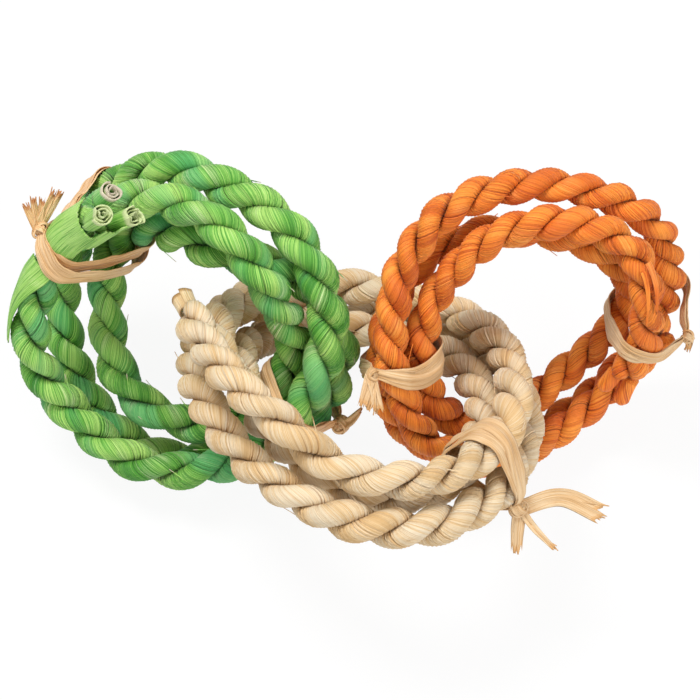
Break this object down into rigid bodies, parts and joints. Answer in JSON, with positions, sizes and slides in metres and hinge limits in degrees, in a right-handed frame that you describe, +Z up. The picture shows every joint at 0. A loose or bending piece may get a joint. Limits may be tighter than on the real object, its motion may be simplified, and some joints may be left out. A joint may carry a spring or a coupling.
{
  "type": "rope ring chew toy",
  "caption": "Chew toy of linked rings wound from twisted husk rope in green, cream and orange, each bundle of turns tied with knotted husk strips.",
  "frame": {"origin": "middle of the toy's box at floor level, the toy lying on a table as in the picture", "axes": "+X along the row from the green ring to the orange ring, +Y away from the viewer, +Z up"},
  "size_m": [0.207, 0.1228, 0.0964],
  "materials": {
    "green_husk": "dyed husk, matt with a slight sheen along the fibres",
    "green_leaf": "pale green flat husk leaf, satin",
    "cream_husk": "undyed husk, matt with a slight sheen along the fibres",
    "orange_husk": "dyed husk, matt with a slight sheen along the fibres",
    "tan_husk": "dry tan husk strip, satin",
    "pale_husk": "dry pale husk strip, satin"
  },
  "bodies": {
    "cream_ring": {"cream_rope": "cream_husk", "cream_tie": "pale_husk", "cream_end_roll": "cream_husk"},
    "green_ring": {"green_rope": "green_husk", "green_upper_tie": "tan_husk", "green_lower_tie": "tan_husk", "green_end_leaf": "green_leaf", "green_end_roll_1": "green_husk", "green_end_roll_2": "green_husk", "green_end_roll_3": "green_husk", "green_wrap_leaf": "green_leaf"},
    "orange_ring": {"orange_rope": "orange_husk", "orange_left_tie": "pale_husk", "orange_right_tie": "pale_husk", "orange_sliver_1": "orange_husk", "orange_sliver_2": "orange_husk", "orange_strand_end_1": "orange_husk", "orange_strand_end_2": "orange_husk"}
  },
  "joints": [
    {"name": "green_swing", "type": "hinge", "parent": "cream_ring", "child": "green_ring", "pos_m": [-0.0135, 0.00351, 0.04168], "axis": [-0.5691, 0.3993, 0.7188], "range_deg": [0, 50]},
    {"name": "orange_swing", "type": "hinge", "parent": "cream_ring", "child": "orange_ring", "pos_m": [0.01151, -0.00179, 0.04508], "axis": [0.4198, -0.2599, -0.8696], "range_deg": [0, 35]}
  ]
}
